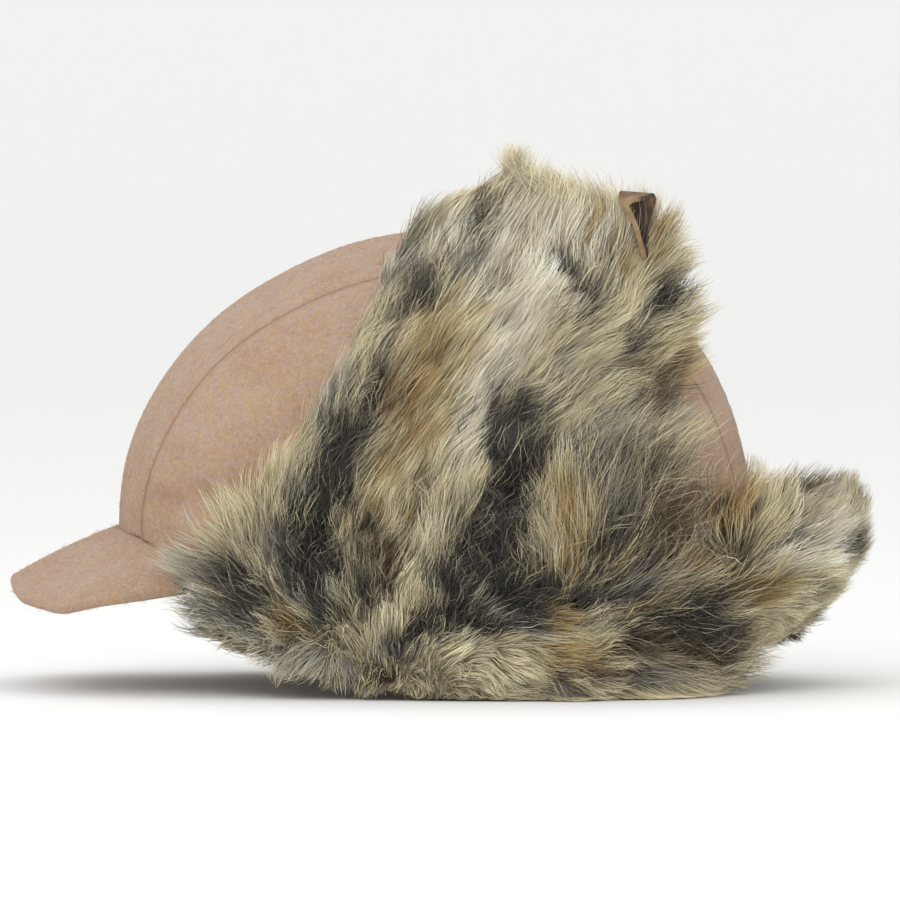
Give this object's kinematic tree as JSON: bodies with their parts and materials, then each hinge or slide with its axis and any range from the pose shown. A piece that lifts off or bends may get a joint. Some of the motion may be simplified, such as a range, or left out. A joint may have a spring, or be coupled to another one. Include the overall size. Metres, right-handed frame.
{
  "type": "aviator hat",
  "caption": "Felted wool aviator hat with a short visor, long fur ear flaps turned up at the sides, a fur neck flap and a small tape loop.",
  "frame": {"origin": "middle of the hat's outer box, on the surface that it stands on", "axes": "the visor points to -X, the wearer's left side to -Y, the top to +Z"},
  "size_m": [0.3132, 0.2084, 0.1857],
  "materials": {
    "wool_felt": "fuzzy felted wool, matt",
    "fur": "long soft pile, cream, gold and charcoal",
    "suede_tape": "matt nap"
  },
  "bodies": {
    "root": {"crown_centre_panel": "wool_felt", "crown_side_panel_left": "wool_felt", "crown_side_panel_right": "wool_felt", "visor": "wool_felt", "ear_flap_left": "fur", "ear_flap_right": "fur", "neck_flap": "fur", "flap_loop": "suede_tape"}
  },
  "joints": []
}
